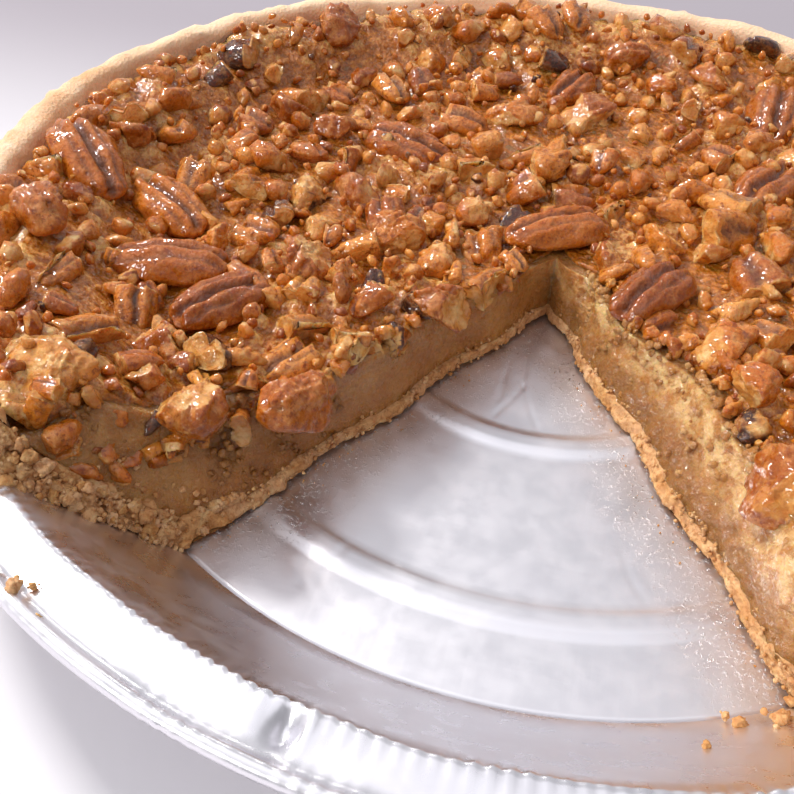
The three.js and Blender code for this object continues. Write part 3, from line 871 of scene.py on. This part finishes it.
def rotations(rng, count, flat):
    """Random turns: about Z by any angle, and tipped by up to flat degrees."""
    a = rng.uniform(0, 2 * np.pi, count)
    b = np.radians(flat) * rng.normal(0, 0.6, count)
    c = np.radians(flat) * rng.normal(0, 0.6, count)
    zero, one = np.zeros(count), np.ones(count)

    def stack(*rows):
        return np.stack(rows, -1).reshape(count, 3, 3)

    rz = stack(np.cos(a), -np.sin(a), zero, np.sin(a), np.cos(a), zero, zero, zero, one)
    rx = stack(one, zero, zero, zero, np.cos(b), -np.sin(b), zero, np.sin(b), np.cos(b))
    ry = stack(np.cos(c), zero, np.sin(c), zero, one, zero, -np.sin(c), zero, np.cos(c))
    return rz @ rx @ ry


def copies(templates, places, turns, sizes, tones):
    """Joined copies of the templates, taken in turn, as points, faces and marks."""
    points, faces, pales, marks, start = [], [], [], [], 0
    for k, (shape, quads, pale) in enumerate(templates):
        pick = np.arange(k, len(places), len(templates))
        if not len(pick):
            continue
        made = np.einsum("mij,vj->mvi", turns[pick], shape) * sizes[pick, None, None] + places[pick, None, :]
        points.append(made.reshape(-1, 3))
        steps = start + len(shape) * np.arange(len(pick))
        faces.append((quads[None] + steps[:, None, None]).reshape(-1, quads.shape[1]))
        pales.append(np.tile(pale, len(pick)))
        marks.append(np.repeat(tones[pick], len(shape)))
        start += len(shape) * len(pick)
    return np.concatenate(points), faces, np.concatenate(pales), np.concatenate(marks)


# Each pecan of the CAD: its kind, its heading and its length. Its place comes from its box.
PECAN_KINDS = (
    ("half", 15, 22), ("half", 55, 19), ("half", 149, 20), ("chunk", 161, 12), ("half", 141, 22),
    ("chunk", 159, 16), ("chunk", 16, 16), ("chunk", 160, 11), ("chunk", 86, 15), ("chunk", 37, 11),
    ("half", 172, 21), ("chunk", 41, 12), ("chunk", 55, 13), ("chunk", 146, 12), ("chunk", 63, 13),
    ("half", 33, 22), ("chunk", 2, 13), ("chunk", 12, 13), ("chunk", 162, 12), ("half", 82, 23),
    ("half", 118, 21), ("flake", 19, 17), ("flake", 30, 17), ("half", 58, 20), ("chunk", 174, 13),
    ("chunk", 145, 12), ("chunk", 164, 12), ("chunk", 178, 13), ("chunk", 45, 18), ("chunk", 140, 14),
    ("half", 69, 17), ("chunk", 16, 12), ("half", 120, 22), ("chunk", 30, 14), ("half", 100, 22),
    ("half", 70, 22), ("chunk", 20, 14), ("chunk", 80, 15), ("half", 150, 22), ("chunk", 10, 14),
    ("half", 60, 21), ("chunk", 30, 14), ("half", 35, 21),
)
PECAN_TONES = (0.3, 0.2, 0.5, 0.16, 0.4, 0.35, 0.65, 0.24, 0.3, 0.26)


def slope_turn(x, y):
    step = 5.0
    dx = (topping_top(x + step, y) - topping_top(x - step, y)) / (2 * step)
    dy = (topping_top(x, y + step) - topping_top(x, y - step)) / (2 * step)
    return Vector((0, 0, 1)).rotation_difference(Vector((-dx, -dy, 1)).normalized())


def pecans():
    """One piece for each pecan of the CAD. Returns their rows of x, y, z and half length."""
    rows = []
    for i, (kind, heading, length) in enumerate(PECAN_KINDS):
        low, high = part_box(f"pecan_{i + 1:02d}")
        middle = np.array((low + high) / 2) / MM
        tip = Quaternion((1, 0, 0), math.radians((i * 37) % 23 - 11))
        turn = slope_turn(middle[0], middle[1]) @ Quaternion((0, 0, 1), math.radians(heading)) @ tip
        near = np.linalg.norm(middle[:2] - FRONT) < 50
        if kind == "half":
            shape, faces, pale = pecan_half(100 + i)
        else:
            flat = 0.5 if kind == "flake" else 1.0
            shape, faces, pale = broken_piece(200 + i, 5 if near else 4, (1.0, 0.76, 0.6 * flat), 7)
            shape = shape / np.abs(shape[:, 0]).max()
        points = (shape * (length / 2)) @ np.array(turn.to_matrix()).T + middle
        points[:, 2] -= max(points[:, 2].max() - (high.z / MM + 0.2), 0)
        tone = np.full(len(points), PECAN_TONES[i % len(PECAN_TONES)])
        sugar = np.full(len(points), 0.2 if kind == "half" else 0.6)
        put(f"{kind}_{i + 1:02d}", points, [faces], "pecan", NUT, [f"pecan_{i + 1:02d}"],
            pale=pale, tone=tone, sugar=sugar)
        rows.append((*middle, length / 2 * (0.75 if kind == "half" else 0.85)))
    return np.array(rows)


def scatter(rng, count, gap, margin, hollows=0.0):
    """Random places over the pie, at least gap from each other, behind its cuts, and a little
    further behind the right one. hollows is the share of the low ground that is left bare."""
    kept, grid = [], {}
    tries = rng.uniform(-NUTS_R, NUTS_R, (count * 14, 2))
    z = topping_top(*tries.T)
    low = noise(np.column_stack([tries, 0 * z]), 14.0, 57, 2) < -0.25
    bare = low & (rng.random(len(tries)) < hollows)
    margin = margin * np.where(tries[:, 0] > 0, 2.0, 1.0)
    tries = tries[(np.hypot(*tries.T) < NUTS_R) & (depth_in_pie(tries, z) > margin) & ~bare]
    for p in tries:
        key = (int(p[0] // gap), int(p[1] // gap))
        beside = [(key[0] + dx, key[1] + dy) for dx, dy in product((-1, 0, 1), repeat=2)]
        near = [q for place in beside for q in grid.get(place, ())]
        if any((p[0] - q[0]) ** 2 + (p[1] - q[1]) ** 2 < gap * gap for q in near):
            continue
        grid.setdefault(key, []).append(p)
        kept.append(p)
        if len(kept) == count:
            break
    return np.array(kept)


def clear_of(places, rows, share):
    d = np.linalg.norm(places[:, None, :] - rows[None, :, :2], axis=-1)
    return places[(d > share * rows[None, :, 3]).all(1)]


def strewn(rng, places, size, sink):
    """Rows of x, y, z and half length for nuts that lie on the topping."""
    half = rng.uniform(*size, len(places)) / 2
    z = heap(*places.T) + half * rng.uniform(sink - 0.15, sink + 0.15, len(places))
    z = np.minimum(z, HIGHEST - 0.3 - 0.95 * half)
    return np.column_stack([places, z, half])


def strew(name, seed, rows, level, flat, planes=8, fragments=0, grid=(22, 20), dark=0.04):
    """Chopped nuts: one piece of joined copies of templates, some of which are bits of halves."""
    rng = np.random.default_rng(seed)
    templates = [half_fragment(seed * 20 + k, *grid) for k in range(fragments)]
    templates += [broken_piece(seed * 20 + k, level, planes=planes) for k in range(fragments, TEMPLATES)]
    rows = rows[rng.permutation(len(rows))]
    tones = np.clip(rng.normal(0.48, 0.24, len(rows)), 0.08, 1.0)
    tones = np.where(rng.random(len(rows)) < dark, 0.0, tones)
    turns = rotations(rng, len(rows), flat)
    points, faces, pale, tone = copies(templates, rows[:, :3], turns, rows[:, 3], tones)
    sugar = 0.55 + 0.45 * noise(points, 8.0, 73, 2)
    put(name, points, faces, "nut_topping", NUT, pale=pale, tone=tone, sugar=sugar)


def chopped_nuts(whole):
    """The broken nuts of the topping, largest first. Returns the rows that the syrup climbs."""
    rng = np.random.default_rng(11)
    large = strewn(rng, clear_of(scatter(rng, 380, 8.4, 2.5, 0.8), whole, 1.15), (9.5, 15.5), -0.06)
    near = np.linalg.norm(large[:, :2] - FRONT, axis=1) < 60
    strew("nuts_large_front", 21, large[near], 4, 30, fragments=7, grid=(30, 28))
    strew("nuts_large_back", 22, large[~near], 3, 30, fragments=7, grid=(16, 14))
    held = np.concatenate([whole, large])
    medium = strewn(rng, clear_of(scatter(rng, 900, 4.9, 1.2, 0.5), held, 0.75), (4.6, 8.8), 0.05)
    near = np.linalg.norm(medium[:, :2] - FRONT, axis=1) < 60
    strew("nuts_medium_front", 23, medium[near], 3, 50, fragments=5, grid=(16, 14))
    strew("nuts_medium_back", 24, medium[~near], 2, 50)
    fine = strewn(rng, scatter(rng, 1000, 3.3, 0.8), (1.6, 3.4), 0.1)
    strew("nuts_fine", 25, fine, 2, 90, planes=3, dark=0.02)
    return np.concatenate([held, medium])


def cut_nuts():
    """Nuts that stand in the cut faces, just under the top."""
    rng = np.random.default_rng(31)
    rows = []
    for cut, extra in ((LEFT, 22), (RIGHT, 0)):
        for reach in np.append(np.linspace(8, 102, 46) + rng.uniform(-1, 1, 46), rng.uniform(76, 103, extra)):
            droop, back, size = (3.4 + max(reach - 68, 0) * 0.3, 0.6, 9.0) if cut is LEFT else (1.4, 1.4, 6.0)
            z = topping_top(*(cut[1] * reach)) - rng.uniform(0.2, droop)
            half = rng.uniform(0.4, 1.0) * size / 2
            xy = cut[1] * reach + cut[0] * (cut_at(cut, reach, z) + back + rng.uniform(0, 2.4))
            rows.append((*xy, z, half))
    rows = np.array(rows)
    large = rows[:, 3] > 3.4
    strew("nuts_in_cuts", 32, rows[large], 4, 90, fragments=4)
    strew("bits_in_cuts", 33, rows[~large], 3, 90)
    return rows


def grain(seed, level):
    """A template of a pastry crumb, about 2 across: a knot of smaller grains."""
    way, faces = icosphere(level)
    knots = 0.75 - cells(way + seed, 0.62, seed)
    reach = 0.72 + 0.55 * knots + 0.28 * noise(way, 0.55, seed, 2)
    return way * reach[:, None] * [1.0, 0.88, 0.8], faces, np.zeros(len(way))


# Crumbs that have rolled onto the foil: x, y, z and half size.
LOOSE_CRUMBS = (
    (-55.6, -105, 23.4, 1.2), (-53.5, -104, 23.0, 0.6), (-50.6, -107.9, 22.9, 0.5), (37, -85.9, 3.6, 1.2),
    (35.5, -84.5, 2.4, 0.7), (37.8, -91, 7, 1.0), (31.3, -94.2, 9.6, 0.7), (42.3, -84.5, 4.8, 1.7),
    (45.5, -86.5, 6.4, 1.9), (-52, -80, 3.2, 1.0), (-60, -86, 11, 0.9), (-56, -84.5, 8.0, 1.1),
)


def crumbs():
    """Loose and half-loose pastry crumbs along the bottom of the cuts, at the broken ends of the
    wall and on the foil."""
    rng = np.random.default_rng(41)
    fine, coarse, specks = [], [], []
    for cut, ends in ((LEFT, 500), (RIGHT, 130)):
        out, ahead = cut[:2]
        for reach in rng.uniform(0, 90, 230):
            z = rng.uniform(1.2, 4.4)
            xy = ahead * reach + out * (cut_at(cut, reach, z) + rng.normal(0.1, 0.35))
            fine.append((*xy, z, rng.uniform(0.2, 0.55)))
        for i, share in enumerate(rng.random(ends)):
            z = 1.5 + 26 * share
            reach = min(wall_radius(z), RIM_R) - GAP - rng.uniform(-0.2, CRUST_WALL)
            xy = ahead * reach + out * (cut_at(cut, reach, z) + rng.normal(-0.2, 0.6))
            size = rng.uniform(0.9, 1.7) if i % 6 == 0 else rng.uniform(0.25, 0.7)
            (coarse if i % 6 == 0 else fine).append((*xy, z, size))
        for reach, drop in rng.uniform(0, 1, (170 if cut is LEFT else 0, 2)):
            reach = 101 - 22 * reach ** 1.5
            z = 4 + (topping_top(*(ahead * reach)) - 8) * drop ** 2.6 * smoothstep(reach, 78, 98)
            xy = ahead * reach + out * (cut_at(cut, reach, z) + rng.normal(0.3, 0.4))
            size = rng.uniform(0.3, 0.8) if drop > 0.25 else rng.uniform(0.6, 1.3)
            (fine if drop > 0.25 else coarse).append((*xy, z, size))
        for reach in rng.uniform(20, 89, 45):
            xy = ahead * reach + out * (cut[2] - abs(rng.normal(0, 2.2)))
            specks.append((*xy, FOIL + 0.12, rng.uniform(0.1, 0.28)))
    for x, y, z, size in LOOSE_CRUMBS:
        coarse.append((x, y, z, size))
        for _ in range(4):
            xy = np.array([x, y]) + rng.normal(0, 0.6 * size, 2)
            specks.append((*xy, z - 0.2 * size, size * 0.4))
    kinds = (("crumbs_tiny", specks, 1), ("crumbs_fine", fine, 2), ("crumbs_coarse", coarse, 3))
    for name, rows, level in kinds:
        rows = np.array(rows)
        templates = [grain(500 + k, level) for k in range(TEMPLATES)]
        turns, tones = rotations(rng, len(rows), 90), rng.uniform(0, 0.35, len(rows))
        points, faces, _, tone = copies(templates, rows[:, :3], turns, rows[:, 3], tones)
        points[:, 2] = np.maximum(points[:, 2], 0.05)
        put(name, points, faces, "crust", CRUST, tone=tone, broken=np.ones(len(points)))


# ---------------------------------------------------------------- camera, light and floor

def camera():
    """Close in front of the missing slice and above it, a little to the right."""
    look_at = Vector((-24.96, -31.90, 0.5)) * MM
    azimuth, elevation, roll = (math.radians(a) for a in (12.7, 41.567, 3.02))
    distance = 0.18123
    back = Vector((math.sin(azimuth) * math.cos(elevation), -math.cos(azimuth) * math.cos(elevation),
                   math.sin(elevation)))
    data = bpy.data.cameras.new("camera")
    data.lens = 43.41
    data.sensor_width = 36
    data.clip_start = 0.005
    made = placed("camera", data)
    made.location = look_at + back * distance
    made.rotation_mode = "QUATERNION"
    made.rotation_quaternion = (-back).to_track_quat("-Z", "Y") @ Quaternion((0, 0, 1), roll)
    bpy.context.scene.camera = made


def softbox(name, place, size, watts):
    data = bpy.data.lights.new(name, "AREA")
    data.shape = "RECTANGLE"
    data.size = data.size_y = size
    data.energy = watts
    data.color = (1, 0.985, 0.96)
    light = placed(name, data)
    light.location = place
    light.rotation_mode = "QUATERNION"
    light.rotation_quaternion = (-Vector(place)).to_track_quat("-Z", "Y")


def soft_room():
    """A pale room as the world: brightest overhead and to the left, dimmer to the right and in front."""
    world = bpy.data.worlds.new("world")
    world.use_nodes = True
    s = Nodes(world.node_tree)
    at = s.node("ShaderNodeTexCoord").outputs["Generated"]
    way = s.node("ShaderNodeSeparateXYZ", {0: at}).outputs
    overhead = s.steps(way["Z"], 0.75, 0.97, 0.0, 0.6)
    light = s.math("MULTIPLY_ADD", way["X"], -0.2, 0.52)
    light = s.math("MULTIPLY_ADD", way["Y"], 0.12, light)
    light = s.math("ADD", light, overhead)
    background = s.tree.nodes["Background"].inputs
    s.set(background["Color"], (0.95, 0.955, 1.0, 1))
    s.set(background["Strength"], s.math("MAXIMUM", light, 0.2))
    bpy.context.scene.world = world


def studio():
    soft_room()
    softbox("key_left", (-1.5, 0.9, 1.6), 0.4, 46.0)
    softbox("glint_back", (-0.5, 2.0, 0.95), 0.08, 1.3)
    softbox("fill_front_left", (-1.3, -1.5, 1.3), 0.5, 19.0)
    floor = Shader("pale_table", Roughness=0.9, Specular_IOR_Level=0.1)
    away = floor.node("ShaderNodeSeparateXYZ", {0: floor.place()}).outputs["Y"]
    # The table is painted darker further back: painted shade.
    floor.done(Base_Color=floor.mix(floor.steps(away, -20, 140), (229, 226, 230), (166, 159, 166)))
    size = 3.0
    corners = [(-size, -size, 0), (size, -size, 0), (size, size, 0), (-size, size, 0)]
    mesh = bpy.data.meshes.new("floor")
    mesh.from_pydata(corners, [], [(0, 1, 2, 3)])
    mesh.materials.append(floor.material)
    placed("floor", mesh)
    bpy.context.scene.view_settings.view_transform = "Standard"


camera()
studio()
foil_base()
foil_rim()
crust_rim()
crust_bottom()
filling()
gel_lumps()
nuts = chopped_nuts(pecans())
caramel(np.concatenate([nuts, cut_nuts()]))
crumbs()
